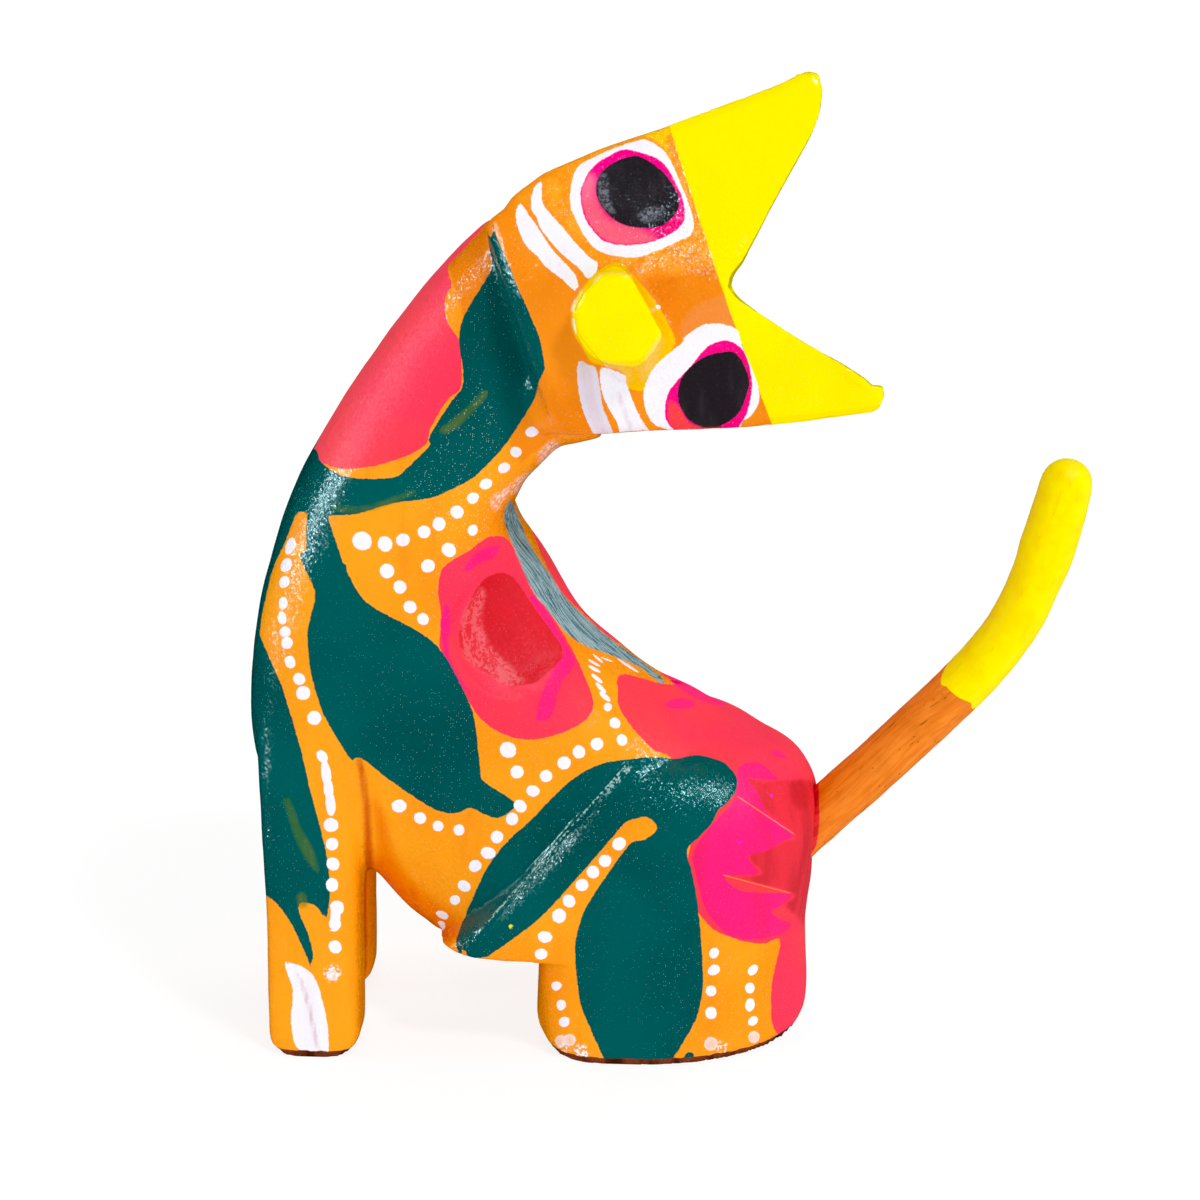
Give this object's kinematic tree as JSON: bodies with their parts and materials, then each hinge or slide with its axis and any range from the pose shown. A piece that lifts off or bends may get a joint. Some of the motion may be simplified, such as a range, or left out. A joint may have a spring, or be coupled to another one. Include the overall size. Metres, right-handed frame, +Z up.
{
  "type": "cat figurine",
  "caption": "Carved and painted wooden cat that sits up and looks back over its shoulder, with a bent stick for a tail.",
  "frame": {"origin": "middle of the figure's box, at the height of the soles", "axes": "+Z up, +X from the chest to the tail, the face looks along -Y"},
  "size_m": [0.1464, 0.0598, 0.1728],
  "materials": {
    "painted_wood": "hand-painted in orange, teal, coral, magenta, yellow and white, satin to glossy",
    "tail_stick": "orange-stained stick with its upper half painted yellow, satin"
  },
  "bodies": {
    "root": {"cat_body": "painted_wood", "tail": "tail_stick"}
  },
  "joints": []
}
